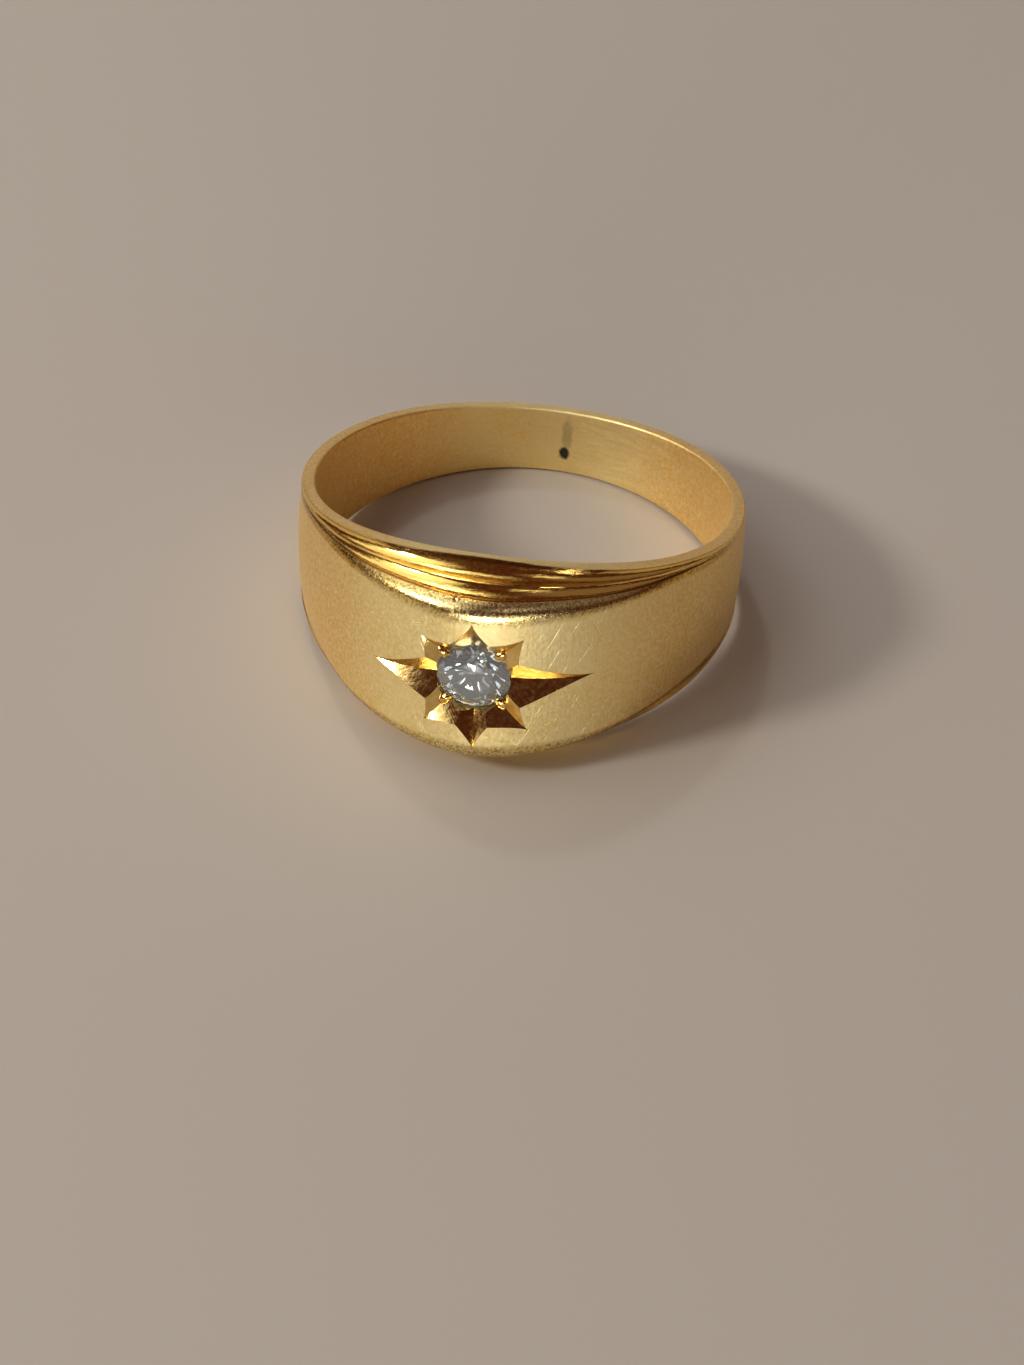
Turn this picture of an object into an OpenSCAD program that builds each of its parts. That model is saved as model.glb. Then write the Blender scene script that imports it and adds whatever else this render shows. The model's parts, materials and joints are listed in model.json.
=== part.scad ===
// Flush set gypsy ring in yellow gold with one round brilliant, lying on its side.
// The band is one solid: plain shank, fluted border on both edges and a smooth panel
// with an eight pointed star cut round the stone. It is drawn upright, with the finger
// along Z and the stone towards -Y, and then leaned back so that it lies on its lower rim.

/* [Finger bore] */
// Diameter of the finger bore
bore_d = 18.2; // [15:0.1:22]

/* [Band] */
// Width of the band at the stone, along the finger
front_width = 8.9; // [8:0.1:11]
// Width of the band opposite the stone
back_width = 3.2; // [2.4:0.1:5]
// Thickness of the band at the stone, at the crown of the panel
front_wall = 3.1; // [2.9:0.05:3.6]
// Thickness of the band opposite the stone
back_wall = 0.7; // [0.68:0.02:1.2]
// Rise of the panel's crown over its two edges at the stone
panel_crown = 0.1; // [0.04:0.02:0.16]
// Width of the flat rim, opposite the stone
rim_width = 0.52; // [0.4:0.02:0.54]
// Bevel at the mouths of the bore
mouth_bevel = 0.09; // [0.05:0.01:0.14]

/* [Fluted border] */
// Drop from the rim to the panel's edge at the stone
border_drop = 0.88; // [0.5:0.01:1]
// Depth of the two flutes at the stone
flute_depth = 0.36; // [0.15:0.01:0.45]
// Length worn round at the panel's edge at the stone
edge_round = 0.54; // [0.2:0.02:0.6]

/* [Star] */
// Turn of the whole star, which was cut by eye
star_angle = 2.4; // [0:0.2:5]
// Reach of the two long rays from the middle of the stone, along the panel
long_reach = 5.1; // [4.2:0.05:5.4]
// Reach of the four slanting rays
slant_reach = 2.98; // [2.6:0.02:3.2]
// Metal left between an upright ray's tip and the panel's edge
tip_margin = 0.7; // [0.5:0.05:1.1]
// Width of a long ray beside the stone
long_width = 2.4; // [1.8:0.05:2.6]
// Width of an upright ray beside the stone
upright_width = 2.3; // [1.6:0.05:2.5]
// Width of a slanting ray beside the stone
slant_width = 2.5; // [1.6:0.05:2.7]
// Height of the long and upright rays' valleys over the girdle, beside the stone
valley_rise = 0.06; // [0.04:0.01:0.3]
// Height of the slanting rays' valleys over the girdle, beside the stone
slant_rise = 0.12; // [0.04:0.01:0.3]

/* [Stone] */
// Diameter of the stone
stone_d = 3.0; // [2.7:0.05:3.3]
// Depth of the stone's girdle below the crown of the panel
girdle_sink = 0.9; // [0.7:0.02:1]
// Diameter of the table
table_d = 1.7; // [1.4:0.05:1.9]
// Height of the crown, from girdle to table
stone_crown = 0.44; // [0.3:0.01:0.55]
// Depth of the pavilion, from girdle to culet
pavilion = 1.26; // [1.0:0.01:1.35]
// Thickness of the girdle
girdle = 0.06; // [0.03:0.01:0.1]
// Diameter of the small flat culet
culet_d = 0.14; // [0.05:0.01:0.25]

/* [Seat] */
// Clearance between the stone and the gold
seat_gap = 0.03; // [0.02:0.01:0.06]
// Widening of the seat's mouth, outside the girdle
mouth_flare = 0.12; // [0.05:0.01:0.3]
// Diameter of each grain that holds the stone
grain_d = 0.54; // [0.4:0.02:0.6]
// Diameter of the hole drilled through behind the stone
drill_d = 1.2; // [0.8:0.05:1.5]

/* [Hidden] */

bore_r = bore_d / 2;
crest_r = bore_r + front_wall;
stone_r = stone_d / 2;
girdle_r = crest_r - girdle_sink;
ray_depth = girdle_sink - valley_rise;
slant_depth = girdle_sink - slant_rise;
gold = [0.86, 0.62, 0.26];
diamond = [0.88, 0.93, 0.95];

// How far the outline is drawn inside the bore, and cutters past what they cut
overlap = 0.4;
bore_facets = 180;
seat_facets = 64;
grain_facets = 24;

// Sections every few degrees, closer together on the front half
front_step = 4.5;
back_step = 9;

// Shares of the named sizes, one row every 15 degrees from the stone to the back.
// A smooth curve runs close to the values of each column.
WIDTH = 0;
SWELL = 1;
DROP = 2;
RIM = 3;
CROWN = 4;
row_step = 15;
rows = [
    // width, swell, drop, rim, crown
    [1.015, 1.105, 1.00, 0.50, 0.78],
    [0.97, 0.79, 0.98, 1.06, 1.44],
    [0.86, 0.48, 0.94, 1.24, 1.56],
    [0.71, 0.17, 0.76, 1.17, 1.92],
    [0.56, 0.05, 0.58, 1.10, 2.14],
    [0.42, 0.01, 0.42, 1.07, 1.50],
    [0.31, 0.00, 0.22, 1.03, 0.87],
    [0.23, 0.00, 0.17, 1.01, 1.02],
    [0.17, 0.00, 0.18, 1.00, 1.00],
    [0.11, 0.00, 0.18, 1.00, 1.00],
    [0.05, 0.00, 0.18, 1.00, 1.00],
    [0.01, 0.00, 0.18, 1.00, 1.00],
    [-0.005, 0.00, 0.18, 1.00, 1.00],
];

function mirrored_row(i) =
    let (last = len(rows) - 1, j = abs(i))
    rows[j > last ? 2 * last - j : j];

// Smooth curve through a column of the table, at an angle from the stone
function share(column, angle) =
    let (
        t = abs(angle) / row_step,
        i = floor(t),
        f = t - i,
        before = (1 - f) ^ 3,
        near = 3 * f ^ 3 - 6 * f ^ 2 + 4,
        next = -3 * f ^ 3 + 3 * f ^ 2 + 3 * f + 1
    )
    (before * mirrored_row(i - 1)[column]
        + near * mirrored_row(i)[column]
        + next * mirrored_row(i + 1)[column]
        + f ^ 3 * mirrored_row(i + 2)[column]) / 6;

function mix(from, to, t) = from + (to - from) * t;

// Measures of the band at an angle from the stone
function rim_z(a) = mix(back_width, front_width, share(WIDTH, a)) / 2;
function crown_r(a) = bore_r + mix(back_wall, front_wall, share(SWELL, a));
function edge_r(a) = crown_r(a) - panel_crown * share(CROWN, a);
function edge_z(a) = rim_z(a) - border_drop * share(DROP, a);
function rim_r(a) = bore_r + rim_width * share(RIM, a);
function panel_r(a, z) = mix(crown_r(a), edge_r(a), (z / edge_z(a)) ^ 2);

// The border's own line runs from the rim's outer edge to the panel's edge.
// The flutes lie under that line: share of the way along it, share of their depth.
ALONG = 0;
BELOW = 1;
flutes = [
    [0.02, 0.25],
    [0.06, 0.70],
    [0.12, 0.93],
    [0.21, 1.00],
    [0.31, 0.86],
    [0.39, 0.56],
    [0.42, 0.56],
    [0.46, 0.80],
    [0.54, 0.98],
    [0.63, 0.97],
    [0.70, 0.74],
    [0.76, 0.22],
];
// Where the border is narrower than this, its flutes run out into a rounded corner
flute_width = 0.45;
// Rise of that rounded corner over the border's line, as a share of its width
round_share = 0.18;

function border(a) = [edge_r(a) - rim_r(a), edge_z(a) - rim_z(a)];
front_border = norm(border(0));

function flute_point(a, flute) =
    let (
        line = border(a),
        size = norm(line),
        normal = [-line.y, line.x] / size,
        fluted = min(1, max(0, (size - flute_width / 2) / flute_width)),
        below = flute[BELOW] * flute_depth * size / front_border,
        rise = 4 * flute[ALONG] * (1 - flute[ALONG]) * round_share * size
    )
    [rim_r(a), rim_z(a)] + line * flute[ALONG] + normal * mix(rise, -below, fluted);

// Panel's edge, worn round between the border and the panel
edge_steps = 4;
function edge_point(a, t) =
    let (
        line = border(a),
        worn = edge_round * norm(line) / front_border,
        corner = [edge_r(a), edge_z(a)],
        start = corner - worn * line / norm(line),
        end = [panel_r(a, edge_z(a) - worn), edge_z(a) - worn]
    )
    (1 - t) ^ 2 * start + 2 * t * (1 - t) * corner + t ^ 2 * end;

panel_shares = [0.72, 0.48, 0.24];

// Upper half of a section, from inside the bore out to the panel
function half_section(a) = concat(
    [
        [bore_r - overlap, rim_z(a) - mouth_bevel - overlap],
        [bore_r + mouth_bevel, rim_z(a)],
        [rim_r(a), rim_z(a)],
    ],
    [for (flute = flutes) flute_point(a, flute)],
    [for (i = [0:edge_steps]) edge_point(a, i / edge_steps)],
    [for (s = panel_shares) [panel_r(a, s * edge_z(a)), s * edge_z(a)]]
);

// Whole section: upper half, crown and lower half
function section(a) =
    let (upper = half_section(a), count = len(upper))
    concat(
        upper,
        [[crown_r(a), 0]],
        [for (i = [count - 1:-1:0]) [upper[i].x, -upper[i].y]]
    );

// A point at a radius and height, turned from the stone about the finger's axis
function turned(a, r, z) = [r * sin(a), -r * cos(a), z];

angles = concat(
    [for (a = [-90:front_step:90 - front_step]) a],
    [for (a = [90:back_step:270 - back_step]) a > 180 ? a - 360 : a]
);

// The ring touches the surface at the bevel in front and at the rim's edge behind
lean = atan((rim_z(0) - rim_z(180)) / (bore_r + mouth_bevel + rim_r(180)));
front_side = section(0);
back_side = section(180);
front_y = [for (p = front_side) -p.x * cos(lean) + p.y * sin(lean)];
back_y = [for (p = back_side) p.x * cos(lean) + p.y * sin(lean)];
seat_z = rim_r(180) * sin(lean) + rim_z(180) * cos(lean);

module laid_down() {
    translate([0, -(min(front_y) + max(back_y)) / 2, seat_z])
        rotate([-lean, 0, 0])
            children();
}

// Points out along the stone's axis, from the middle of its girdle
module at_stone() {
    translate([0, -girdle_r, 0])
        rotate([90, 0, 0])
            children();
}

module band_blank() {
    sections = [for (a = angles) section(a)];
    per = len(sections[0]);
    count = len(angles);
    points = [for (i = [0:count - 1]) for (p = sections[i]) turned(angles[i], p.x, p.y)];
    faces = [
        for (i = [0:count - 1])
            for (j = [0:per - 1])
                let (
                    here = i * per,
                    there = ((i + 1) % count) * per,
                    k = (j + 1) % per
                )
                each [
                    [here + j, there + j, there + k],
                    [here + j, there + k, here + k]
                ]
    ];
    polyhedron(points, faces);
}

// One groove of the star: a V that shallows towards its tip.
// Share of the way along it from the stone, share of its depth below the panel.
groove = [
    [-0.12, 1.04],
    [0.00, 1.00],
    [0.25, 0.67],
    [0.50, 0.38],
    [0.75, 0.15],
    [1.00, 0.00],
];
// Height of the cutter over the panel
groove_lift = 0.3;

// Rays of each kind: turn from the star's long axis, share of the reach, share of the width
TURN = 0;
REACH = 1;
WIDE = 2;
long_rays = [[-1, 1.06, 1.06], [181, 0.96, 1]];
upright_rays = [[88, 1.03, 1.04], [272, 1.08, 0.86]];
slant_rays = [[45, 1.07, 1], [137, 0.98, 0.98], [225, 0.98, 1.04], [317, 1.1, 1]];

// Point over or under the panel, from distances along and up it
function panel_point(x, z, lift) =
    let (a = x / crest_r * 180 / PI)
    turned(a, panel_r(a, z) + lift, z);

module ray(turn, reach, depth, width) {
    along = [cos(turn), sin(turn)];
    side = [-sin(turn), cos(turn)];
    spread = width / 2 / depth;
    rings = [
        for (g = groove)
            let (
                middle = along * mix(stone_r, reach, g[ALONG]),
                deep = depth * g[BELOW],
                half = (deep + groove_lift) * spread,
                left = middle + side * half,
                right = middle - side * half
            )
            [
                panel_point(middle.x, middle.y, -deep),
                panel_point(left.x, left.y, groove_lift),
                panel_point(right.x, right.y, groove_lift)
            ]
    ];
    end = along * (reach + groove_lift);
    points = concat([for (r = rings) each r], [panel_point(end.x, end.y, groove_lift)]);
    last = 3 * (len(groove) - 1);
    faces = concat(
        [[0, 1, 2]],
        [
            for (i = [0:3:last - 3])
                for (j = [0:2])
                    let (k = (j + 1) % 3)
                    each [[i + j, i + j + 3, i + k + 3], [i + j, i + k + 3, i + k]]
        ],
        [for (j = [0:2]) [last + j, last + 3, last + (j + 1) % 3]]
    );
    polyhedron(points, faces);
}

module star() {
    upright_reach = edge_z(0) - tip_margin;
    for (r = long_rays)
        ray(r[TURN] + star_angle, long_reach * r[REACH], ray_depth, long_width * r[WIDE]);
    for (r = upright_rays)
        ray(r[TURN] + star_angle, upright_reach * r[REACH], ray_depth, upright_width * r[WIDE]);
    for (r = slant_rays)
        ray(r[TURN] + star_angle, slant_reach * r[REACH], slant_depth, slant_width * r[WIDE]);
}

// Flared mouth over the girdle, cut before the grains are raised
module seat_mouth() {
    rotate_extrude($fn = seat_facets)
        polygon([
            [0, -girdle],
            [stone_r + seat_gap, -girdle],
            [stone_r + seat_gap + mouth_flare, girdle_sink],
            [stone_r + seat_gap + mouth_flare, girdle_sink + overlap],
            [0, girdle_sink + overlap],
        ]);
}

// A grain of gold raised at the root of each slanting ray: a short stem with a domed head
grain_turns = [0:18:90];
module grain(root) {
    grain_r = grain_d / 2;
    shoulder = girdle + grain_r / 2;
    head = [for (t = grain_turns) [grain_r * cos(t), shoulder + grain_r / 2 * sin(t)]];
    rotate_extrude($fn = grain_facets)
        polygon(concat([[0, -root], [grain_r, -root]], head));
}

module grains() {
    from_middle = stone_r + seat_gap + grain_d / 6;
    for (r = slant_rays)
        rotate([0, 0, r[TURN] + star_angle])
            translate([from_middle, 0, 0])
                grain(girdle_sink / 2);
}

// Room for the stone: the drilled hole, the bearing, the girdle and the crown
module seat() {
    drill_r = drill_d / 2;
    slope = pavilion / stone_r;
    wide = stone_r + seat_gap;
    bearing = -girdle / 2 - seat_gap;
    // The foot of the seat lies lower, so that it clears the ridges under the stone
    foot = bearing - (wide - drill_r) * slope - 2 * seat_gap;
    rotate_extrude($fn = seat_facets)
        polygon([
            [0, -front_wall],
            [drill_r, -front_wall],
            [drill_r, foot],
            [wide, bearing],
            [wide, girdle / 2 + seat_gap],
            [table_d / 2 + seat_gap, girdle / 2 + stone_crown + seat_gap],
            [table_d / 2 + seat_gap, girdle_sink + overlap],
            [0, girdle_sink + overlap],
        ]);
}

module band() {
    color(gold)
        laid_down()
            difference() {
                union() {
                    difference() {
                        band_blank();
                        star();
                        at_stone() seat_mouth();
                    }
                    at_stone() grains();
                }
                at_stone() seat();
                cylinder(r = bore_r, h = 2 * front_width, center = true, $fn = bore_facets);
            }
}

// Round brilliant of eightfold symmetry: table, stars, kites, upper halves, girdle,
// lower halves, mains and a small culet
FOLD = 8;
// Shares of the way out to the girdle at which the stars and the lower halves end
star_share = 0.52;
lower_share = 0.3;

function ring_of(count, r, z, offset) =
    [for (i = [0:count - 1]) let (a = i * 360 / count + offset) [r * cos(a), r * sin(a), z]];

module brilliant() {
    table_r = table_d / 2;
    culet_r = culet_d / 2;
    top_z = girdle / 2 + stone_crown;
    low_end = -girdle / 2 - pavilion;
    half = 180 / FOLD;
    star_r = mix(table_r, stone_r, star_share);
    star_z = mix(top_z, girdle / 2, (star_r * cos(half) - table_r) / (stone_r - table_r));
    low_r = mix(culet_r, stone_r, lower_share);
    low_z = mix(low_end, -girdle / 2, (low_r * cos(half) - culet_r) / (stone_r - culet_r));
    twice = 2 * FOLD;
    points = concat(
        ring_of(FOLD, table_r, top_z, 0),
        ring_of(FOLD, star_r, star_z, half),
        ring_of(twice, stone_r, girdle / 2, 0),
        ring_of(twice, stone_r, -girdle / 2, 0),
        ring_of(FOLD, low_r, low_z, half),
        ring_of(FOLD, culet_r, low_end, 0)
    );
    // Where each ring of points starts in the list
    table = 0;
    stars = FOLD;
    upper = stars + FOLD;
    lower = upper + twice;
    mains = lower + twice;
    culet = mains + FOLD;
    around = [0:FOLD - 1];
    faces = concat(
        [[for (i = [FOLD - 1:-1:0]) table + i]],
        [for (i = around) [table + i, table + (i + 1) % FOLD, stars + i]],
        [for (i = around) [table + i, stars + i, upper + 2 * i, stars + (i + FOLD - 1) % FOLD]],
        [for (i = around) each [
            [stars + i, upper + 2 * i + 1, upper + 2 * i],
            [stars + i, upper + (2 * i + 2) % twice, upper + 2 * i + 1]
        ]],
        [for (i = [0:twice - 1]) [upper + i, upper + (i + 1) % twice, lower + (i + 1) % twice, lower + i]],
        [for (i = around) each [
            [lower + 2 * i, lower + 2 * i + 1, mains + i],
            [lower + 2 * i + 1, lower + (2 * i + 2) % twice, mains + i]
        ]],
        [for (i = around) [lower + 2 * i, mains + i, culet + i, mains + (i + FOLD - 1) % FOLD]],
        [for (i = around) [culet + i, mains + i, culet + (i + 1) % FOLD]],
        [[for (i = around) culet + i]]
    );
    polyhedron(points, faces);
}

module stone() {
    color(diamond)
        laid_down()
            at_stone()
                brilliant();
}

band();
stone();
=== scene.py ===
"""Looks of a flush set gypsy ring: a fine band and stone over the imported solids."""

import json
import math

import bmesh
import bpy
import numpy as np
from mathutils import Matrix, Vector, noise


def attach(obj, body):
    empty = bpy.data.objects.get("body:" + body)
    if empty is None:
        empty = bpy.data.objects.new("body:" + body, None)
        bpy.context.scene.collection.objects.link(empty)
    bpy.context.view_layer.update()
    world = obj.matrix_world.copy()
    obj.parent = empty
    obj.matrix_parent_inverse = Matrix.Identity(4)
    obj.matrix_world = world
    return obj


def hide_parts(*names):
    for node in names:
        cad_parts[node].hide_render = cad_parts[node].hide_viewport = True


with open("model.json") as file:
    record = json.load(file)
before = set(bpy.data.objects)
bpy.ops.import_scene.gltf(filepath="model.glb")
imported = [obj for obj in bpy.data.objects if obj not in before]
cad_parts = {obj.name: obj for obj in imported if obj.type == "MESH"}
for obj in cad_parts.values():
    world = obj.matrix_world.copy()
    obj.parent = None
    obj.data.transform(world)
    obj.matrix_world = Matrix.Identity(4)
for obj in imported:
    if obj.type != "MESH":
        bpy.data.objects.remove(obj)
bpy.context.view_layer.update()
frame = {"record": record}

MM = 0.001
PHOTO_HEIGHT = 1365

# The ring's own frame, in mm: finger along Z, stone towards -Y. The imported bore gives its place.
bore = frame["record"]["mounts"][0]
lean = math.asin(bore["axis"][1])
ring_place = Matrix.Translation(bore["pos_m"]) @ Matrix.Rotation(-lean, 4, "X") @ Matrix.Scale(MM, 4)

# Band, in mm
bore_r = bore["dims"]["r_mm"]
front_width = 8.9
back_width = 3.2
front_wall = 3.1
back_wall = 0.7
panel_crown = 0.1
rim_width = 0.52
mouth_bevel = 0.09
border_drop = 0.88
flute_depth = 0.36
edge_round = 0.54
flute_width = 0.45
round_share = 0.18
crest_r = bore_r + front_wall

# Shares of the named sizes, one row every 15 degrees from the stone to the back
WIDTH, SWELL, DROP, RIM, CROWN = range(5)
ROW_STEP = 15
rows = np.array([
    [1.015, 1.105, 1.00, 0.50, 0.78],
    [0.97, 0.79, 0.98, 1.06, 1.44],
    [0.86, 0.48, 0.94, 1.24, 1.56],
    [0.71, 0.17, 0.76, 1.17, 1.92],
    [0.56, 0.05, 0.58, 1.10, 2.14],
    [0.42, 0.01, 0.42, 1.07, 1.50],
    [0.31, 0.00, 0.22, 1.03, 0.87],
    [0.23, 0.00, 0.17, 1.01, 1.02],
    [0.17, 0.00, 0.18, 1.00, 1.00],
    [0.11, 0.00, 0.18, 1.00, 1.00],
    [0.05, 0.00, 0.18, 1.00, 1.00],
    [0.01, 0.00, 0.18, 1.00, 1.00],
    [-0.005, 0.00, 0.18, 1.00, 1.00],
])

# Border from the rim to the panel. The two flutes: share of the way along it, share of the depth below it
upper_flute = [[0.00, 0.00], [0.05, 0.31], [0.11, 0.70], [0.20, 1.00], [0.31, 0.88], [0.39, 0.56]]
lower_flute = [[0.42, 0.56], [0.46, 0.80], [0.54, 0.98], [0.63, 0.97], [0.70, 0.74], [0.76, 0.22]]

# Painted shade along the border's creases, at the rim's edge, the rib and the foot of the flutes: share of
# the way along it, width as a share, depth
crease_shade_lines = [[0.03, 0.03, 0.6], [0.405, 0.014, 0.6], [0.75, 0.045, 1.0]]

# Steps of the band's mesh: spans in each stretch of a section, then degrees from one section to the next
BORE_SPANS = 7
BEVEL_SPANS = 4
RIM_SPANS = 4
FLUTE_SPANS = 3
WORN_SPANS = 9
PANEL_SPANS = 25
FRONT_END = 100
FRONT_STEP = 0.5
BACK_STEP = 1.6
CREASE = 24

# Star and stone, in mm and degrees
star_angle = 2.4
long_reach = 5.1
slant_reach = 2.98
tip_margin = 0.7
long_width = 2.4
upright_width = 2.3
slant_width = 2.5
valley_rise = 0.06
slant_rise = 0.12
groove_lift = 0.3
groove_fall = 1.4
groove_root = 0.12
GROOVE_SPANS = 16
SEAT_SIDES = 96
stone_r = 1.5
girdle_sink = 0.9
girdle_r = crest_r - girdle_sink
ray_depth = girdle_sink - valley_rise
slant_depth = girdle_sink - slant_rise
table_r = 0.85
stone_crown = 0.44
pavilion = 1.26
girdle = 0.06
culet_r = 0.07
seat_gap = 0.03
mouth_flare = 0.12
grain_r = 0.27
grain_lumps = 0.12
grain_lump_rate = 1.3
grain_shape = (1.25, 0.85, 0.8)
grain_stem = 3
drill_r = 0.6

# Facets of the stone, in degrees: where the mains lie, and the slopes from the girdle's plane
FOLD = 8
FOLD_TURN = 360 / FOLD
HALF_TURN = FOLD_TURN / 4
STONE_SIDES = 96
stone_turn = 10
star_slope = 21
upper_slope = 41
lower_slope = 42.6

# Dark blot on the bore at the back, and the faint smear over it, in mm
BLOT_PLACE = (0.52, 9.08, -0.55)
BLOT_SIZE = (0.30, 0.5, 0.40)
SMEAR_PLACE = (0.60, 9.08, 0.35)
SMEAR_SIZE = (0.30, 0.5, 1.1)

# Pits in the worn edge: degrees, radius, height, half sizes round, out and up, in mm
pits = [
    [-4.9, 11.28, 3.86, (0.22, 0.20, 0.26)],
    [-4.2, 11.40, 3.84, (0.26, 0.20, 0.24)],
    [-3.3, 11.36, 3.88, (0.20, 0.16, 0.24)],
    [-3.8, 11.66, 3.76, (0.16, 0.14, 0.18)],
]
pit_lumps = 0.4
pit_lump_rate = 1.5

# Nicks in the panel, in mm and degrees: along it, up it, turn and length
nick_width = 0.07
nick_depth = 0.03
nick_lift = 0.02
nicks = [
    [4.27, 2.64, 88, 0.42],
    [4.65, 1.78, 5, 0.24],
    [6.15, 1.81, 70, 0.16],
    [7.40, 0.51, 40, 0.14],
    [5.40, 0.79, 12, 0.30],
    [3.64, -0.31, 80, 0.20],
    [4.50, -0.80, 55, 0.34],
    [3.80, -0.69, 60, 0.20],
    [6.07, 1.41, 20, 0.14],
    [6.86, 2.79, 65, 0.20],
    [-1.39, -3.18, 50, 0.42],
    [-3.32, 2.46, 75, 0.26],
    [-5.42, 1.36, 60, 0.30],
    [-5.38, 0.56, 80, 0.24],
    [-5.57, -1.53, 55, 0.44],
]


def share(column, degrees):
    """Smooth curve through a column of the table, at angles from the stone."""
    t = np.abs(degrees) / ROW_STEP
    i = np.floor(t).astype(int)
    f = t - i
    last = len(rows) - 1

    def row(k):
        k = np.abs(k)
        return rows[np.where(k > last, 2 * last - k, k), column]

    near = 3 * f**3 - 6 * f**2 + 4
    after = -3 * f**3 + 3 * f**2 + 3 * f + 1
    return ((1 - f) ** 3 * row(i - 1) + near * row(i) + after * row(i + 1) + f**3 * row(i + 2)) / 6


def mix(start, end, t):
    return start + (end - start) * t


def rim_z(a):
    return mix(back_width, front_width, share(WIDTH, a)) / 2


def crown_radius(a):
    return bore_r + mix(back_wall, front_wall, share(SWELL, a))


def edge_radius(a):
    return crown_radius(a) - panel_crown * share(CROWN, a)


def edge_z(a):
    return rim_z(a) - border_drop * share(DROP, a)


def rim_radius(a):
    return bore_r + rim_width * share(RIM, a)


def panel_radius(a, z):
    return mix(crown_radius(a), edge_radius(a), (z / edge_z(a)) ** 2)


def turned(a, r, z):
    """Point at a radius and height, turned from the stone about the finger's axis."""
    t = np.radians(a)
    return np.stack(np.broadcast_arrays(r * np.sin(t), -r * np.cos(t), z), -1)


def on_panel(x, z, lift=0.0):
    """Point over the panel, from mm along it and up it."""
    a = np.degrees(np.asarray(x, float) / crest_r)
    return turned(a, panel_radius(a, z) + lift, z)


def smooth_through(points, per_span):
    """Points on a smooth curve through the ones given."""
    points = np.array(points)
    padded = np.vstack([2 * points[0] - points[1], points, 2 * points[-1] - points[-2]])
    found = []
    for p0, p1, p2, p3 in zip(padded, padded[1:], padded[2:], padded[3:]):
        for t in np.arange(per_span) / per_span:
            found.append(0.5 * (2 * p1 + (p2 - p0) * t + (2 * p0 - 5 * p1 + 4 * p2 - p3) * t**2
                                + (3 * p1 - p0 - 3 * p2 + p3) * t**3))
    return np.vstack(found + [points[-1]])


def band_sections(a):
    """Closed sections of the band at angles a, as radii and heights, bore first."""
    wide, rim, edge, corner = rim_z(a), rim_radius(a), edge_radius(a), edge_z(a)
    line = np.stack([edge - rim, corner - wide], -1)
    size = np.linalg.norm(line, axis=-1, keepdims=True)
    normal = np.stack([-line[:, 1], line[:, 0]], -1) / size
    front_size = np.hypot(edge_radius(0.0) - rim_radius(0.0), edge_z(0.0) - rim_z(0.0))
    fluted = np.clip((size - flute_width / 2) / flute_width, 0, 1)
    start = np.stack([rim, wide], -1)
    points = []

    for s in np.arange(BORE_SPANS) / BORE_SPANS:
        points.append(np.stack([np.full_like(wide, bore_r), s * (wide - mouth_bevel)], -1))
    for t in np.linspace(0, math.pi / 2, BEVEL_SPANS + 1):
        r = bore_r + mouth_bevel * (1 - math.cos(t))
        points.append(np.stack([np.full_like(wide, r), wide - mouth_bevel * (1 - math.sin(t))], -1))
    for s in np.linspace(0, 1, RIM_SPANS + 1)[1:]:
        points.append(np.stack([mix(bore_r + mouth_bevel, rim, s), wide], -1))
    curves = [smooth_through(flute, FLUTE_SPANS) for flute in (upper_flute, lower_flute)]
    for along, below in np.vstack(curves):
        rise = 4 * along * (1 - along) * round_share * size
        down = -below * flute_depth * size / front_size
        points.append(start + line * along + normal * mix(rise, down, fluted))

    worn = edge_round * size[:, 0] / front_size
    corner_point = np.stack([edge, corner], -1)
    worn_start = corner_point - worn[:, None] * line / size
    worn_end = np.stack([panel_radius(a, corner - worn), corner - worn], -1)
    for t in np.linspace(0, 1, WORN_SPANS + 1):
        points.append((1 - t) ** 2 * worn_start + 2 * t * (1 - t) * corner_point + t**2 * worn_end)
    for s in np.linspace(1, 0, PANEL_SPANS + 1)[1:]:
        z = s * (corner - worn)
        points.append(np.stack([panel_radius(a, z), z], -1))

    upper = np.stack(points, 1)
    lower = upper[:, 1:-1][:, ::-1] * [1, -1]
    return np.concatenate([upper, lower], 1)


def linked(name, mesh):
    """Object of a mesh, in the scene."""
    made = bpy.data.objects.new(name, mesh)
    bpy.context.scene.collection.objects.link(made)
    return made


def finished(shape, name, material):
    """Object made from an edited mesh, which is freed."""
    mesh = bpy.data.meshes.new(name)
    shape.to_mesh(mesh)
    shape.free()
    mesh.materials.append(material)
    return linked(name, mesh)


def new_object(name, points, faces, material):
    """Object in the ring's own frame, with its faces turned outwards."""
    mesh = bpy.data.meshes.new(name)
    mesh.from_pydata([tuple(p) for p in points], [], faces)
    mesh.materials.append(material)
    shape = bmesh.new()
    shape.from_mesh(mesh)
    bmesh.ops.recalc_face_normals(shape, faces=shape.faces[:])
    shape.to_mesh(mesh)
    shape.free()
    return linked(name, mesh)


def band_blank(material):
    front = np.arange(-FRONT_END, FRONT_END, FRONT_STEP)
    back = np.arange(FRONT_END, 360 - FRONT_END, BACK_STEP)
    angles = np.concatenate([front, np.where(back > 180, back - 360, back)])
    sections = band_sections(angles)
    count, per = sections.shape[:2]
    points = turned(angles[:, None], sections[..., 0], sections[..., 1]).reshape(-1, 3)
    i, j = np.meshgrid(np.arange(count), np.arange(per), indexing="ij")
    here, there = i * per, (i + 1) % count * per
    k = (j + 1) % per
    faces = np.stack([here + j, there + j, there + k, here + k], -1).reshape(-1, 4)
    return new_object("gold_band", points, faces.tolist(), material)


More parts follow.
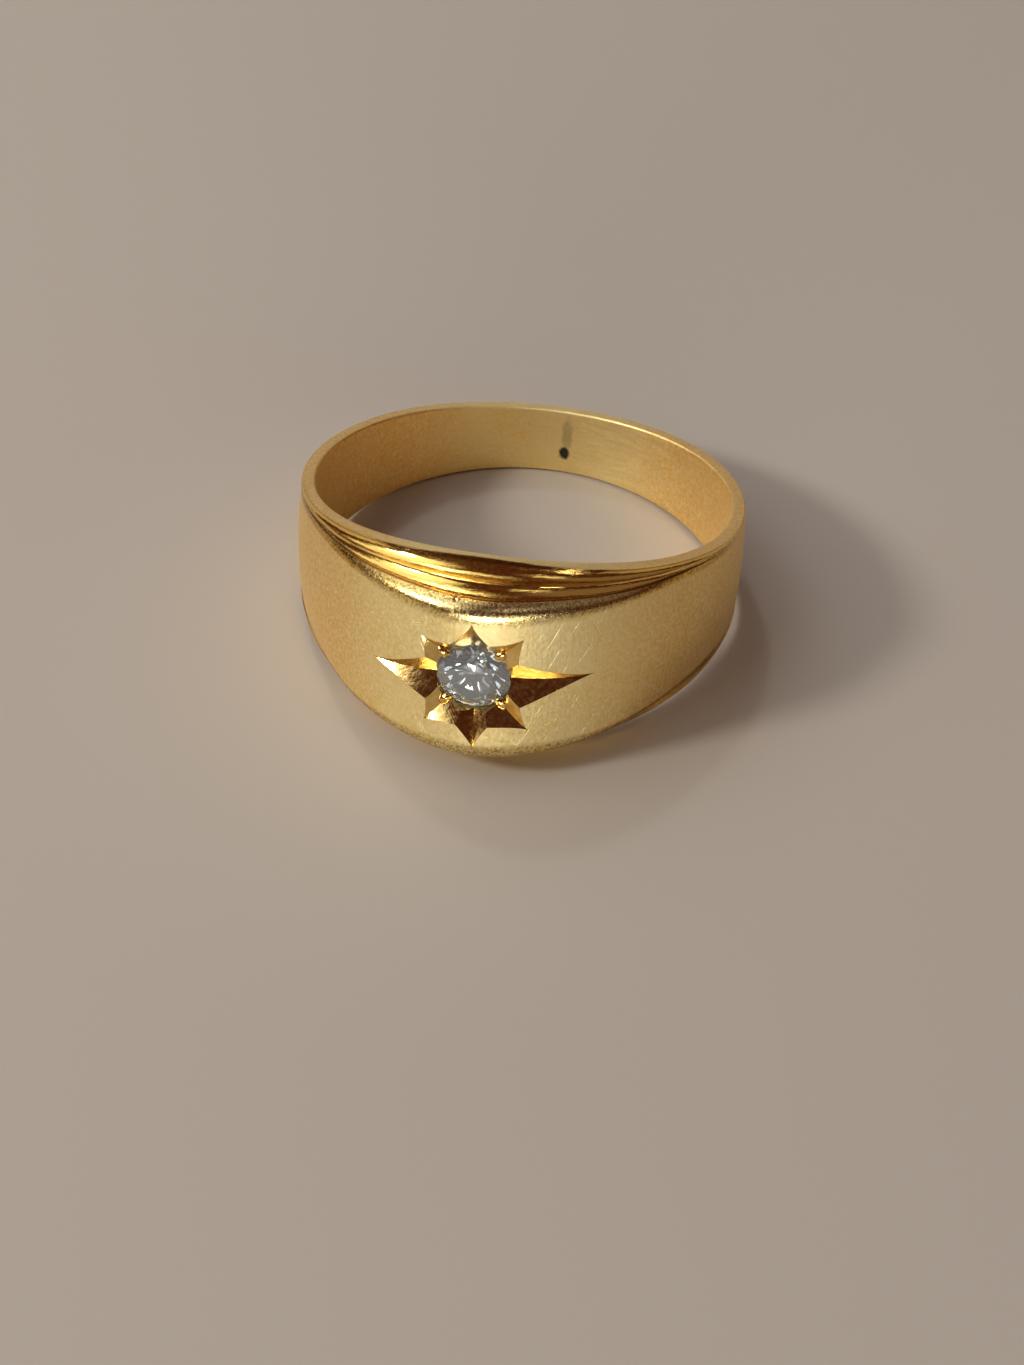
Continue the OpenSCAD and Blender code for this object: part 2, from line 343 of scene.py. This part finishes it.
def ray(turn, reach, depth, width, material):
    """Cutter for one groove of the star: a V that shallows towards its tip."""
    along = np.array([math.cos(math.radians(turn)), math.sin(math.radians(turn))])
    side = np.array([-along[1], along[0]])
    spread = width / 2 / depth
    points = []
    stations = np.concatenate([[-groove_root], np.linspace(0, 1, GROOVE_SPANS + 1)])
    for s in stations:
        deep = depth * (1 - s) ** groove_fall if s > 0 else depth * (1 - s / 3)
        half = (deep + groove_lift) * spread
        middle = along * mix(stone_r, reach, s)
        points.append(on_panel(*middle, -deep))
        points.append(on_panel(*(middle + side * half), groove_lift))
        points.append(on_panel(*(middle - side * half), groove_lift))
    points.append(on_panel(*(along * (reach + groove_lift)), groove_lift))
    last = 3 * (len(stations) - 1)
    faces = [[0, 1, 2]]
    for i in range(0, last, 3):
        for j in range(3):
            k = (j + 1) % 3
            faces.append([i + j, i + j + 3, i + k + 3])
            faces.append([i + j, i + k + 3, i + k])
    for j in range(3):
        faces.append([last + j, last + 3, last + (j + 1) % 3])
    return new_object("ray", points, faces, material)


def spun(name, profile, steps, material):
    """Solid turned about the stone's axis, from a profile of radii and heights that starts and ends on it."""
    points = []
    rings = profile[1:-1]
    for r, h in rings:
        for i in range(steps):
            t = 2 * math.pi * i / steps
            points.append((r * math.cos(t), -girdle_r - h, r * math.sin(t)))
    low = len(points)
    points.append((0, -girdle_r - profile[0][1], 0))
    points.append((0, -girdle_r - profile[-1][1], 0))
    faces = []
    for k in range(len(rings) - 1):
        for i in range(steps):
            n = (i + 1) % steps
            faces.append([k * steps + i, k * steps + n, (k + 1) * steps + n, (k + 1) * steps + i])
    top = (len(rings) - 1) * steps
    for i in range(steps):
        n = (i + 1) % steps
        faces.append([low, n, i])
        faces.append([low + 1, top + i, top + n])
    return new_object(name, points, faces, material)


def boolean(target, cutter, operation):
    """Cuts or joins a cutter, which leaves its own material on the new faces and is dropped."""
    modifier = target.modifiers.new(operation, "BOOLEAN")
    modifier.operation = operation
    modifier.solver = "MANIFOLD"
    modifier.material_mode = "TRANSFER"
    modifier.object = cutter
    bpy.context.view_layer.update()
    shaped = target.evaluated_get(bpy.context.evaluated_depsgraph_get())
    mesh = bpy.data.meshes.new_from_object(shaped)
    target.modifiers.clear()
    target.data = mesh
    bpy.data.objects.remove(cutter)


# Rays of the star: turn, share of the reach, share of the width
long_rays = [[-1, 1.06, 1.06], [181, 0.96, 1]]
upright_rays = [[88, 1.03, 1.04], [272, 1.08, 0.86]]
slant_rays = [[45, 1.07, 1], [137, 0.98, 0.98], [225, 0.98, 1.04], [317, 1.1, 1]]


def cut_star(band, material):
    upright_reach = edge_z(0.0) - tip_margin
    kinds = [
        (long_rays, long_reach, ray_depth, long_width),
        (upright_rays, upright_reach, ray_depth, upright_width),
        (slant_rays, slant_reach, slant_depth, slant_width),
    ]
    for rays, reach, depth, width in kinds:
        for turn, part, wide in rays:
            boolean(band, ray(turn + star_angle, reach * part, depth, width * wide, material), "DIFFERENCE")


def cut_mouth(band, material):
    wide = stone_r + seat_gap
    high = girdle_sink + groove_lift
    profile = [
        [0, -girdle],
        [wide, -girdle],
        [wide + mouth_flare, girdle_sink],
        [wide + mouth_flare, high],
        [0, high],
    ]
    boolean(band, spun("mouth", profile, SEAT_SIDES, material), "DIFFERENCE")


def raise_grains(band, material):
    """Lumpy grains with a stem down into the band, one at the root of each slanting ray."""
    for ray_row in slant_rays:
        t = math.radians(ray_row[0] + star_angle)
        r = stone_r + seat_gap + grain_r / 3
        bead = bmesh.new()
        bmesh.ops.create_icosphere(bead, subdivisions=4, radius=grain_r)
        for v in bead.verts:
            spot = v.co / grain_r * grain_lump_rate + Vector((t * 3, 0, 0))
            v.co *= 1 + grain_lumps * noise.noise(spot)
            v.co = v.co * Vector(grain_shape)
            if v.co.z < 0:
                v.co.z *= grain_stem
        made = finished(bead, "grain", material)
        middle = Vector((r * math.cos(t), -girdle_r - girdle - grain_r / 4, r * math.sin(t)))
        upright = Matrix.Rotation(math.pi / 2, 4, "X") @ Matrix.Rotation(t, 4, "Z")
        made.data.transform(Matrix.Translation(middle) @ upright)
        boolean(band, made, "UNION")


def cut_seat(band, material):
    slope = pavilion / stone_r
    wide = stone_r + seat_gap
    bearing = -girdle / 2 - seat_gap
    foot = bearing - (wide - drill_r) * slope - 2 * seat_gap
    high = girdle_sink + groove_lift
    inner = table_r + seat_gap
    profile = [
        [0, -front_wall],
        [drill_r, -front_wall],
        [drill_r, foot],
        [wide, bearing],
        [wide, girdle / 2 + seat_gap],
        [inner, girdle / 2 + stone_crown + seat_gap],
        [inner, high],
        [0, high],
    ]
    boolean(band, spun("seat", profile, SEAT_SIDES, material), "DIFFERENCE")


def nick(band, x, z, turn, length, material):
    """Small scratch or dent in the panel: a short V that comes up at both ends."""
    along = np.array([math.cos(math.radians(turn)), math.sin(math.radians(turn))]) * length / 2
    side = np.array([-along[1], along[0]]) / length * 2 * nick_width / 2
    middle = np.array([x, z])
    points = [on_panel(*middle, -nick_depth)]
    for corner in [middle + along, middle + side, middle - along, middle - side]:
        points.append(on_panel(*corner, nick_lift))
    faces = [[1, 2, 3, 4], [0, 2, 1], [0, 3, 2], [0, 4, 3], [0, 1, 4]]
    boolean(band, new_object("nick", points, faces, material), "DIFFERENCE")


def dent(band, degrees, radius, z, size, material):
    """Ragged pit of the given half sizes round, out and up."""
    ball = bmesh.new()
    bmesh.ops.create_icosphere(ball, subdivisions=3, radius=1)
    for v in ball.verts:
        v.co *= 1 + pit_lumps * noise.noise(v.co * pit_lump_rate + Vector((degrees, 0, 0)))
    made = finished(ball, "dent", material)
    middle = Vector(turned(degrees, radius, z))
    round_ring = Matrix.Rotation(math.radians(degrees), 3, "Z")
    made.data.transform(Matrix.LocRotScale(middle, round_ring, Vector(size)))
    boolean(band, made, "DIFFERENCE")


def brilliant(material):
    """Round brilliant, cut from a cylinder by the plane of each facet."""
    shape = bmesh.new()
    blank = {"segments": STONE_SIDES, "radius1": stone_r, "radius2": stone_r, "depth": 4}
    bmesh.ops.create_cone(shape, cap_ends=True, **blank)

    def cut(turn, slope, r, h):
        """Cuts away what lies over a plane through a radius and height, sloping out at a turn."""
        t, lean_out = math.radians(turn), math.radians(slope)
        up = 1 if h > 0 else -1
        out = math.sin(lean_out)
        normal = (math.cos(t) * out, math.sin(t) * out, up * math.cos(lean_out))
        spot = (r * math.cos(t), r * math.sin(t), h)
        parts = shape.verts[:] + shape.edges[:] + shape.faces[:]
        found = bmesh.ops.bisect_plane(shape, geom=parts, plane_co=spot, plane_no=normal, clear_outer=True)
        ring = [e for e in found["geom_cut"] if isinstance(e, bmesh.types.BMEdge)]
        if len(ring) > 2:
            bmesh.ops.contextual_create(shape, geom=ring)

    half = girdle / 2
    crown_slope = math.degrees(math.atan2(stone_crown, stone_r - table_r))
    main_slope = math.degrees(math.atan2(pavilion, stone_r - culet_r))
    chord = stone_r * math.cos(math.radians(HALF_TURN))
    star_r = table_r * math.cos(math.radians(FOLD_TURN / 2))
    cut(0, 0, 0, half + stone_crown)
    cut(0, 0, 0, -half - pavilion)
    for k in range(FOLD):
        turn = stone_turn + FOLD_TURN * k
        cut(turn, crown_slope, stone_r, half)
        cut(turn, main_slope, stone_r, -half)
        cut(turn + FOLD_TURN / 2, star_slope, star_r, half + stone_crown)
        for side in (-HALF_TURN, HALF_TURN):
            cut(turn + side, upper_slope, chord, half)
            cut(turn + side, lower_slope, chord, -half)
    made = finished(shape, "brilliant", material)
    made.data.transform(Matrix.Translation((0, -girdle_r, 0)) @ Matrix.Rotation(math.pi / 2, 4, "X"))
    return made


def soften(piece, crease):
    """Smooth shading, broken where faces meet at more than the crease angle or change material."""
    shape = bmesh.new()
    shape.from_mesh(piece.data)
    for face in shape.faces:
        face.smooth = True
    for edge in shape.edges:
        if len(edge.link_faces) == 2:
            one, two = edge.link_faces
            split = one.material_index != two.material_index
            edge.smooth = not split and edge.calc_face_angle(0) < crease
    shape.to_mesh(piece.data)
    shape.free()


def shader_nodes(name):
    """New material: its node tree and its main shader."""
    material = bpy.data.materials.new(name)
    material.use_nodes = True
    return material, material.node_tree, material.node_tree.nodes["Principled BSDF"]


def node(tree, kind, inputs=None, **settings):
    """New node with its settings, and with each named input set to a value or linked to a socket."""
    made = tree.nodes.new("ShaderNode" + kind)
    for key, value in settings.items():
        setattr(made, key, value)
    for key, value in (inputs or {}).items():
        if isinstance(value, bpy.types.NodeSocket):
            tree.links.new(value, made.inputs[key])
        else:
            made.inputs[key].default_value = value
    return made


def attribute(tree, name):
    return node(tree, "Attribute", attribute_name=name)


def math_node(tree, operation, one, two=0.0):
    return node(tree, "Math", {0: one, 1: two}, operation=operation).outputs[0]


def ramp(tree, value, low, high, start=0.0, end=1.0):
    """Value rescaled from low..high to start..end and held there."""
    inputs = {"Value": value, "From Min": low, "From Max": high, "To Min": start, "To Max": end}
    return node(tree, "MapRange", inputs).outputs["Result"]


def noise_at(tree, place, stretch, scale, detail, roughness):
    """Noise over the ring's own millimetres, stretched along an axis by a small number."""
    moved = node(tree, "VectorMath", {0: place, 1: stretch}, operation="MULTIPLY").outputs[0]
    inputs = {"Vector": moved, "Scale": scale, "Detail": detail, "Roughness": roughness}
    return node(tree, "TexNoise", inputs).outputs["Fac"]


def mix_values(tree, factor, one, two):
    return node(tree, "Mix", {0: factor, 2: one, 3: two}).outputs[0]


def blend_colours(tree, factor, one, two):
    made = node(tree, "Mix", data_type="RGBA")
    for socket, value in zip([made.inputs[0], made.inputs[6], made.inputs[7]], [factor, one, two]):
        if isinstance(value, bpy.types.NodeSocket):
            tree.links.new(value, socket)
        else:
            socket.default_value = value
    return made.outputs[2]


# Colours of the gold's parts, with painted shade and reflection among them, of grit that also serves as
# painted crease shade, of tarnish, and of the seat, painted pale to brighten the stone
GOLD = (1.0, 0.81, 0.36, 1)
DEEP_GOLD = (0.97, 0.73, 0.25, 1)
PALE_GOLD = (1.0, 0.90, 0.54, 1)
# Painted reflection: deeper gold on the flutes, standing in for light bounced between their gold walls
BOUNCE_TINTED_GOLD = (1.0, 0.66, 0.17, 1)
# Painted shade and reflection: darker, more orange gold where the band's sides turn away from the light
SHADED_SHOULDER_GOLD = (0.88, 0.53, 0.11, 1)
CUT_GOLD = (0.84, 0.62, 0.25, 1)
CUT_DEEP_GOLD = (0.78, 0.50, 0.14, 1)
# Dark of the worn edge's real grit, used also for the painted shade in the border's creases
GRIME_AND_SHADE = (0.10, 0.045, 0.012, 1)
TARNISH = (0.07, 0.065, 0.045, 1)
# Painted light: pale blue-grey seat, so that the stone over it looks brighter
SEAT_DARK = (0.50, 0.54, 0.58, 1)
SEAT_PALE = (0.90, 0.93, 0.96, 1)

# Noises of the surface: stretch, scale, detail and roughness
BRUSHED = ((1, 1, 0.06), 8.0, 4.0, 0.6)
RUBBED = ((0.3, 0.3, 1.6), 3.0, 4.0, 0.6)
CLOUDY = ((1, 1, 1), 0.5, 3.0, 0.5)
SPECKLED = ((1, 1, 1), 6.5, 5.0, 0.7)
FILED = ((1, 1, 1), 9.0, 4.0, 0.75)
DRAWN = ((0.1, 1, 1), 9.0, 3.0, 0.6)
HAIRY = ((0.35, 0.35, 7.0), 1.6, 2.0, 0.5)
BLOTTED = ((1, 1, 1), 4.0, 3.0, 0.6)
CHATTERED = ((1, 1, 1), 5.0, 4.0, 0.65)
SEAT_MOTTLE = ((1, 1, 1), 5.0, 3.0, 0.6)

# Fine scratches: turn in degrees, and the noise at which they begin and are whole
scratch_runs = [[62, 0.66, 0.72], [118, 0.67, 0.73], [20, 0.69, 0.75]]

# Roughness of each surface: low and high noise, and the roughness at both
PANEL_ROUGH = (0.3, 0.7, 0.34, 0.52)
FLUTE_ROUGH = (0.35, 0.7, 0.10, 0.22)
BORE_ROUGH = (0.3, 0.7, 0.46, 0.62)
WORN_ROUGH = (0.35, 0.7, 0.14, 0.34)
CUT_ROUGH = (0.3, 0.7, 0.10, 0.24)
SEAT_ROUGH = (0.3, 0.7, 0.2, 0.4)
DARK_ROUGH = 0.3

# Noise over which one colour turns into another, and how far paleness and dirt go
COLOUR_TURN = (0.35, 0.65)
PALENESS = (0.4, 0.7, 0.1, 0.8)
GRITTINESS = (0.45, 0.6, 0.0, 0.7)
BLOT_RAGGED = 0.5
SMEAR_RAGGED = 0.9
SMEAR_DARKNESS = 0.35

# Heights of the marks, as shares of the bump's distance
BRUSHED_HEIGHT = 0.9
RUBBED_HEIGHT = 1.2
FILED_HEIGHT = 0.9
SPECKLED_HEIGHTS = (0.35, 0.9)
SCRATCH_HEIGHT = -0.5
DRAWN_HEIGHT = 1.2

# Strength of each bump, and its distance in metres
WORN_BUMP = (0.6, 0.00002)
CUT_BUMP = (0.2, 0.00005)


def bump_surface(tree, shader, height, strength, distance):
    bump = node(tree, "Bump", {"Height": height, "Strength": strength, "Distance": distance})
    tree.links.new(bump.outputs["Normal"], shader.inputs["Normal"])


def hairlines(tree, place, turn, low, high):
    """Sparse fine scratches that run one way over the front of the ring."""
    inputs = {"Vector": place, "Angle": math.radians(turn)}
    spun_place = node(tree, "VectorRotate", inputs, rotation_type="Y_AXIS").outputs["Vector"]
    return ramp(tree, noise_at(tree, spun_place, *HAIRY), low, high)


def spot_at(tree, place, middle, size, ragged):
    """Soft blot round a point, 1 in its middle: half sizes in mm, and how ragged its edge is."""
    moved = node(tree, "VectorMath", {0: place, 1: middle}, operation="SUBTRACT").outputs[0]
    scaled = node(tree, "VectorMath", {0: moved, 1: [1 / v for v in size]}, operation="MULTIPLY").outputs[0]
    far = node(tree, "VectorMath", {0: scaled}, operation="LENGTH").outputs["Value"]
    rough = math_node(tree, "MULTIPLY", noise_at(tree, place, *BLOTTED), ragged)
    return ramp(tree, math_node(tree, "ADD", far, rough), 0.6 + ragged / 2, 1.0 + ragged / 2, 1.0, 0.0)


def worn_gold():
    """Gold with a brushed satin panel, file marks on its worn edge, polished flutes and a rubbed bore."""
    material, tree, shader = shader_nodes("worn_gold")

    def marked(name):
        return attribute(tree, name).outputs["Fac"]

    def times(one, two):
        return math_node(tree, "MULTIPLY", one, two)

    def added(one, two):
        return math_node(tree, "ADD", one, two)

    def larger(one, two):
        return math_node(tree, "MAXIMUM", one, two)

    place = attribute(tree, "ring_mm").outputs["Vector"]
    round_place = attribute(tree, "round_mm").outputs["Vector"]
    worn, fluted, inside = marked("worn_edge"), marked("fluted"), marked("inside")
    panel = math_node(tree, "SUBTRACT", 1.0, larger(larger(fluted, worn), inside))

    brushed = noise_at(tree, place, *BRUSHED)
    rubbed = noise_at(tree, place, *RUBBED)
    cloudy = noise_at(tree, place, *CLOUDY)
    speckled = noise_at(tree, place, *SPECKLED)
    filed = noise_at(tree, place, *FILED)
    drawn = noise_at(tree, round_place, *DRAWN)
    one, two, three = [hairlines(tree, place, *run) for run in scratch_runs]
    scratched = added(added(one, two), three)
    blot = spot_at(tree, place, BLOT_PLACE, BLOT_SIZE, BLOT_RAGGED)
    smear = times(spot_at(tree, place, SMEAR_PLACE, SMEAR_SIZE, SMEAR_RAGGED), SMEAR_DARKNESS)
    dark = larger(blot, smear)

    colour = blend_colours(tree, ramp(tree, cloudy, *COLOUR_TURN), DEEP_GOLD, GOLD)
    # Painted shade and reflection on the shoulders, where the band turns away from the light
    colour = blend_colours(tree, marked("shoulder"), colour, SHADED_SHOULDER_GOLD)
    # Painted reflection: the flutes' deeper gold, for light bounced between their walls
    colour = blend_colours(tree, fluted, colour, BOUNCE_TINTED_GOLD)
    pale = times(larger(panel, inside), ramp(tree, speckled, *PALENESS))
    colour = blend_colours(tree, pale, colour, PALE_GOLD)
    colour = blend_colours(tree, dark, colour, TARNISH)
    gritty = times(worn, ramp(tree, filed, *GRITTINESS))
    # Painted shade in the border's creases, and real grit on the worn edge, in one dark colour
    colour = blend_colours(tree, larger(marked("grime"), gritty), colour, GRIME_AND_SHADE)
    tree.links.new(colour, shader.inputs["Base Color"])

    rough = ramp(tree, speckled, *PANEL_ROUGH)
    rough = mix_values(tree, fluted, rough, ramp(tree, speckled, *FLUTE_ROUGH))
    rough = mix_values(tree, inside, rough, ramp(tree, rubbed, *BORE_ROUGH))
    rough = mix_values(tree, worn, rough, ramp(tree, speckled, *WORN_ROUGH))
    rough = added(rough, times(dark, DARK_ROUGH))
    tree.links.new(rough, shader.inputs["Roughness"])

    lines = times(brushed, times(panel, BRUSHED_HEIGHT))
    marks = times(filed, times(worn, FILED_HEIGHT))
    grain = times(speckled, ramp(tree, panel, 0.0, 1.0, *SPECKLED_HEIGHTS))
    strokes = times(rubbed, times(inside, RUBBED_HEIGHT))
    height = added(added(lines, marks), added(grain, strokes))
    height = added(height, times(scratched, times(panel, SCRATCH_HEIGHT)))
    height = added(height, times(drawn, times(fluted, DRAWN_HEIGHT)))
    bump_surface(tree, shader, height, *WORN_BUMP)
    shader.inputs["Metallic"].default_value = 1
    return material


def mottled_metal(name, noise_row, colours, rough_row, metallic):
    """Metal in two colours with one noise over colour and roughness: material, tree, shader and the noise."""
    material, tree, shader = shader_nodes(name)
    place = attribute(tree, "ring_mm").outputs["Vector"]
    mottled = noise_at(tree, place, *noise_row)
    colour = blend_colours(tree, ramp(tree, mottled, *COLOUR_TURN), *colours)
    tree.links.new(colour, shader.inputs["Base Color"])
    tree.links.new(ramp(tree, mottled, *rough_row), shader.inputs["Roughness"])
    shader.inputs["Metallic"].default_value = metallic
    return material, tree, shader, mottled


def bright_cut_gold():
    """Gold cut with a graver: nearly a mirror, with faint steps across each cut."""
    colours = (CUT_DEEP_GOLD, CUT_GOLD)
    material, tree, shader, mottled = mottled_metal("bright_cut_gold", CHATTERED, colours, CUT_ROUGH, 1)
    bump_surface(tree, shader, mottled, *CUT_BUMP)
    return material


def dull_seat():
    """Seat under the stone, seen only through it: painted light, a pale blue-grey that brightens the stone,
    mottled over by noise.
    """
    return mottled_metal("dull_seat", SEAT_MOTTLE, (SEAT_DARK, SEAT_PALE), SEAT_ROUGH, 0.4)[0]


def clear_stone():
    """Clear stone with a diamond's refraction, a little cloudy."""
    material, tree, shader = shader_nodes("clear_stone")
    shader.inputs["Base Color"].default_value = (0.84, 0.97, 1.0, 1)
    shader.inputs["Roughness"].default_value = 0.0
    shader.inputs["IOR"].default_value = 2.42
    shader.inputs["Transmission Weight"].default_value = 0.90
    return material


def smooth_step(low, high, value):
    t = np.clip((value - low) / (high - low), 0, 1)
    return t * t * (3 - 2 * t)


def store(mesh, name, values):
    """Stores a number or a vector for each point."""
    kind = "FLOAT_VECTOR" if values.ndim == 2 else "FLOAT"
    made = mesh.attributes.new(name, kind, "POINT")
    made.data.foreach_set("vector" if values.ndim == 2 else "value", values.astype(np.float32).ravel())


# Where the marks of wear and the painted shade begin and are whole: border by its size and bore by its depth,
# in mm;
# by degrees from their middle, the worn edge as it narrows and the shoulders' painted shade, front and back
BORDER_FADE = (0.25, 0.5)
BORE_FADE = (0.02, 0.08)
MARKS_MIDDLE = 4
NARROWING = (12, 42)
NARROWED = 0.5
SHOULDER_FRONT = (12, 46)
SHOULDER_BACK = (165, 130)
# As shares of the worn edge's width: where flutes begin, and where the worn edge ends on each side
FLUTE_FADE = (0.85, 1.05)
WORN_TOP_FADE = (1.1, 0.9)
WORN_FOOT_FADE = (-0.55, -0.30)
RIM_FADE = (-0.03, 0.0)


def mark_surfaces(mesh):
    """Stores where each point is, in mm, and how far it lies in the bore, the flutes, the worn edge,
    the shoulders, which take painted shade, and the creases, which take painted shade."""
    flat = np.empty(len(mesh.vertices) * 3)
    mesh.vertices.foreach_get("co", flat)
    place = flat.reshape(-1, 3)
    a = np.degrees(np.arctan2(place[:, 0], -place[:, 1]))
    r = np.hypot(place[:, 0], place[:, 1])
    z = np.abs(place[:, 2])
    start = np.stack([rim_radius(a), rim_z(a)], -1)
    line = np.stack([edge_radius(a), edge_z(a)], -1) - start
    size = np.linalg.norm(line, axis=-1)
    along = ((np.stack([r, z], -1) - start) * line).sum(-1) / size**2
    away = size * (1 - along)
    border = smooth_step(*BORDER_FADE, size)
    outside = smooth_step(*BORE_FADE, r - bore_r)
    turn = np.abs(a - MARKS_MIDDLE)
    worn = edge_round * (1 - NARROWED * smooth_step(*NARROWING, turn))
    sunk = smooth_step(*RIM_FADE, along) * smooth_step(*FLUTE_FADE, away / worn)
    rounded = smooth_step(*WORN_TOP_FADE, away / worn) * smooth_step(*WORN_FOOT_FADE, away / worn)
    # Painted shade: dark lines along the border's creases, at the rim's edge, the rib and the foot of the
    # flutes
    crease_shade_depth = sum(depth * np.exp(-((along - middle) / width) ** 2) for middle, width, depth in crease_shade_lines)
    store(mesh, "ring_mm", place)
    store(mesh, "round_mm", np.stack([np.radians(a) * crest_r, r, place[:, 2]], -1))
    store(mesh, "inside", 1 - outside)
    store(mesh, "fluted", outside * border * sunk)
    store(mesh, "worn_edge", outside * border * rounded)
    store(mesh, "shoulder", smooth_step(*SHOULDER_FRONT, turn) * smooth_step(*SHOULDER_BACK, turn))
    store(mesh, "grime", outside * border * np.clip(crease_shade_depth, 0, 1))


gold = worn_gold()
cut_gold = bright_cut_gold()
seat_gold = dull_seat()

band = band_blank(gold)
cut_star(band, cut_gold)
cut_mouth(band, cut_gold)
raise_grains(band, cut_gold)
cut_seat(band, seat_gold)
for mark in nicks:
    nick(band, *mark, gold)
for hole in pits:
    dent(band, *hole, cut_gold)
soften(band, math.radians(CREASE))
mark_surfaces(band.data)
band.data.transform(ring_place)
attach(band, "root")
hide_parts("band")

stone = brilliant(clear_stone())
stone.data.transform(ring_place)
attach(stone, "root")
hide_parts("stone")

# Camera, from the photograph: height angle, turn, roll, distance and shift, in degrees and mm
camera_rise = 34.13
camera_turn = -8.20
camera_roll = -3.32
camera_distance = 106.27
camera_across = 0.412
camera_up = 6.471
focal_pixels = 2400
SENSOR = 36

axes = (
    Matrix.Rotation(math.radians(camera_roll), 4, "Z")
    @ Matrix.Rotation(math.radians(camera_rise - 90), 4, "X")
    @ Matrix.Rotation(math.radians(camera_turn), 4, "Z")
)
ring_to_camera = Matrix.Translation((camera_across, camera_up, -camera_distance)) @ axes
lens = bpy.data.cameras.new("camera")
lens.lens = focal_pixels / PHOTO_HEIGHT * SENSOR
lens.sensor_width = SENSOR
lens.clip_start = 0.005
camera = bpy.data.objects.new("camera", lens)
bpy.context.scene.collection.objects.link(camera)
place = ring_place @ ring_to_camera.inverted()
camera.matrix_world = Matrix.LocRotScale(place.to_translation(), place.to_quaternion(), None)
bpy.context.scene.camera = camera


# Studio, in metres
FLOOR_HALF = 0.6
LIGHT_DISTANCE = 0.6


def pale_floor():
    half = FLOOR_HALF
    corners = [(-half, -half, 0), (half, -half, 0), (half, half, 0), (-half, half, 0)]
    mesh = bpy.data.meshes.new("floor")
    mesh.from_pydata(corners, [], [[0, 1, 2, 3]])
    material, tree, shader = shader_nodes("paper")
    shader.inputs["Base Color"].default_value = (0.50, 0.45, 0.385, 1)
    shader.inputs["Roughness"].default_value = 0.62
    mesh.materials.append(material)
    made = linked("floor", mesh)


def soft_light(name, azimuth, elevation, size, power, colour, height=None):
    """Soft light aimed at the ring, round or with a height. Azimuth 0 is in front, and grows towards +X."""
    light = bpy.data.lights.new(name, "AREA")
    light.shape = "RECTANGLE" if height else "DISK"
    light.size = size
    light.size_y = height or size
    light.energy = power
    light.color = colour
    made = bpy.data.objects.new(name, light)
    a, e = math.radians(azimuth), math.radians(elevation)
    towards = Vector((math.sin(a) * math.cos(e), -math.cos(a) * math.cos(e), math.sin(e)))
    made.location = towards * LIGHT_DISTANCE
    made.rotation_euler = towards.to_track_quat("Z", "Y").to_euler()
    bpy.context.scene.collection.objects.link(made)


def soft_sky(colour, strength):
    world = bpy.data.worlds.new("studio")
    bpy.context.scene.world = world
    world.use_nodes = True
    background = world.node_tree.nodes["Background"].inputs
    background["Color"].default_value = colour
    background["Strength"].default_value = strength


pale_floor()
soft_sky((1.0, 0.26, 0.16, 1), 0.06)
soft_light("key", -62, 33, 0.1, 1.65, (1, 0.95, 0.88))
soft_light("window", -70, 46, 0.5, 0.9, (0.95, 0.97, 1.0))
soft_light("window_high", -128, 52, 0.5, 0.7, (0.97, 0.97, 0.97))
soft_light("spark", -150, 57, 0.05, 0.24, (1, 0.97, 0.92))
soft_light("front", 4, 5, 0.46, 2.0, (1, 0.98, 0.93), 0.1)
soft_light("glint", 40, 65, 0.14, 0.07, (0.97, 0.98, 1))
soft_light("glint_low", 32, 15, 0.08, 0.16, (0.97, 0.98, 1))
soft_light("back", -172, 14, 0.8, 0.26, (1, 0.95, 0.9), 0.2)
soft_light("right", 110, 50, 0.7, 0.14, (1, 0.97, 0.93))
bpy.context.scene.view_settings.view_transform = "Standard"
